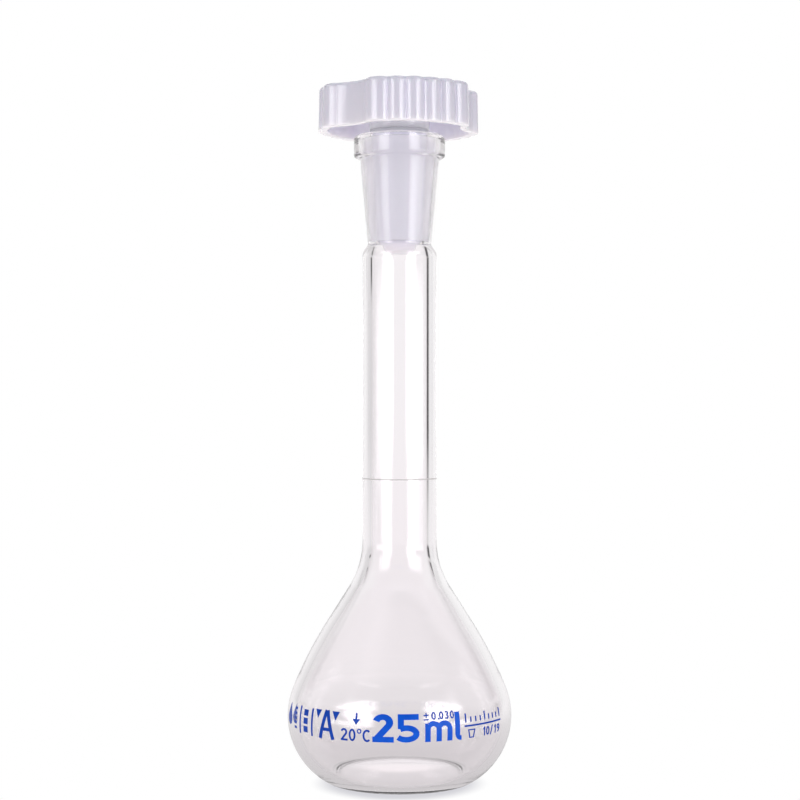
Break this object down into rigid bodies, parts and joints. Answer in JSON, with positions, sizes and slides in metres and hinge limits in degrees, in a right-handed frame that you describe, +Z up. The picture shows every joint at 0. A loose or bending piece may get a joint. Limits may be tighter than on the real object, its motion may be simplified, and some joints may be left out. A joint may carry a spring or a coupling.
{
  "type": "volumetric flask",
  "caption": "Pear-shaped glass volumetric flask on a flat foot ring, with a long narrow neck, ring mark, beaded ground joint and a lobed plastic stopper that lifts out and turns.",
  "frame": {"origin": "centre of the foot ring, on the plane it stands on", "axes": "+Z up the neck axis; -Y is the printed front; +X to the right seen from the front"},
  "size_m": [0.0398, 0.0399, 0.1232],
  "materials": {
    "flask_glass": "clear fire-polished borosilicate glass, finely ground inside the joint",
    "ring_enamel": "thin fired enamel line",
    "blue_enamel": "fired blue enamel, slightly uneven edge",
    "stopper_plastic": "translucent natural polyethylene, satin"
  },
  "bodies": {
    "flask": {"bulb": "flask_glass", "neck_tube": "flask_glass", "joint_socket": "flask_glass", "ring_mark": "ring_enamel", "capacity_print": "blue_enamel", "tolerance_print": "blue_enamel", "temperature_print": "blue_enamel", "class_print": "blue_enamel", "joint_size_print": "blue_enamel", "side_panel_print": "blue_enamel"},
    "plug": {"stopper_plug": "stopper_plastic"},
    "grip": {"stopper_grip": "stopper_plastic"}
  },
  "joints": [
    {"name": "stopper_lift", "type": "slide", "parent": "flask", "child": "plug", "axis": [0, 0, 1], "range_m": [0, 0.04]},
    {"name": "stopper_turn", "type": "hinge", "parent": "plug", "child": "grip", "pos_m": [0, 0, 0.1155], "axis": [0, 0, 1], "continuous": true}
  ]
}
